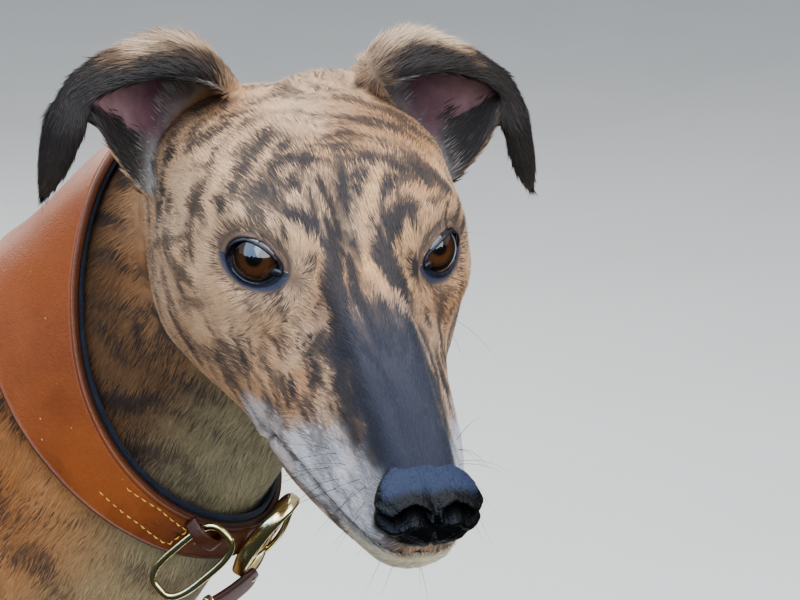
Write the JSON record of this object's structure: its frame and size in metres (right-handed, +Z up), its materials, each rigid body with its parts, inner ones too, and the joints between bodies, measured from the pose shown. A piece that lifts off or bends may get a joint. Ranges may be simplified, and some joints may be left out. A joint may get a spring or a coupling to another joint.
{
  "type": "greyhound",
  "caption": "Life-size standing greyhound with a brindle coat, folded ears, its head turned to its right, wearing a broad leather collar.",
  "frame": {"origin": "middle of the whole model's box, at floor level", "axes": "+Z up; the animal faces -Y, its own right side is at -X"},
  "size_m": [0.2558, 1.167, 0.8787],
  "materials": {
    "coat": "short smooth brindle hair, dark stripes on fawn",
    "ear_coat": "very short dark brown hair, bare mauve skin inside",
    "nose_pad": "moist black pebbled skin",
    "eye": "glossy dark brown",
    "claw": "dark horn, satin",
    "leather": "smooth tan leather, waxed, with pale thread",
    "lining": "dark navy lining",
    "brass": "polished"
  },
  "bodies": {
    "root": {"ear_left": "ear_coat", "eye_left": "eye", "ear_right": "ear_coat", "eye_right": "eye", "head": "coat", "lower_jaw": "coat", "nose": "nose_pad", "claw_fore_left_1": "claw", "claw_fore_left_2": "claw", "claw_fore_left_3": "claw", "claw_fore_left_4": "claw", "claw_hind_left_1": "claw", "claw_hind_left_2": "claw", "claw_hind_left_3": "claw", "claw_hind_left_4": "claw", "foreleg_upper_left": "coat", "foreleg_lower_left": "coat", "forepaw_left": "coat", "thigh_left": "coat", "gaskin_left": "coat", "hind_cannon_left": "coat", "hind_paw_left": "coat", "claw_fore_right_1": "claw", "claw_fore_right_2": "claw", "claw_fore_right_3": "claw", "claw_fore_right_4": "claw", "claw_hind_right_1": "claw", "claw_hind_right_2": "claw", "claw_hind_right_3": "claw", "claw_hind_right_4": "claw", "foreleg_upper_right": "coat", "foreleg_lower_right": "coat", "forepaw_right": "coat", "thigh_right": "coat", "gaskin_right": "coat", "hind_cannon_right": "coat", "hind_paw_right": "coat", "neck_upper": "coat", "neck_lower": "coat", "chest": "coat", "loin": "coat", "croup": "coat", "tail_base": "coat", "tail_middle": "coat", "tail_tip": "coat", "collar_lining": "lining", "collar_strap": "leather", "collar_ring": "brass", "collar_ring_tab": "leather", "collar_buckle": "brass", "collar_strap_end": "leather"}
  },
  "joints": []
}
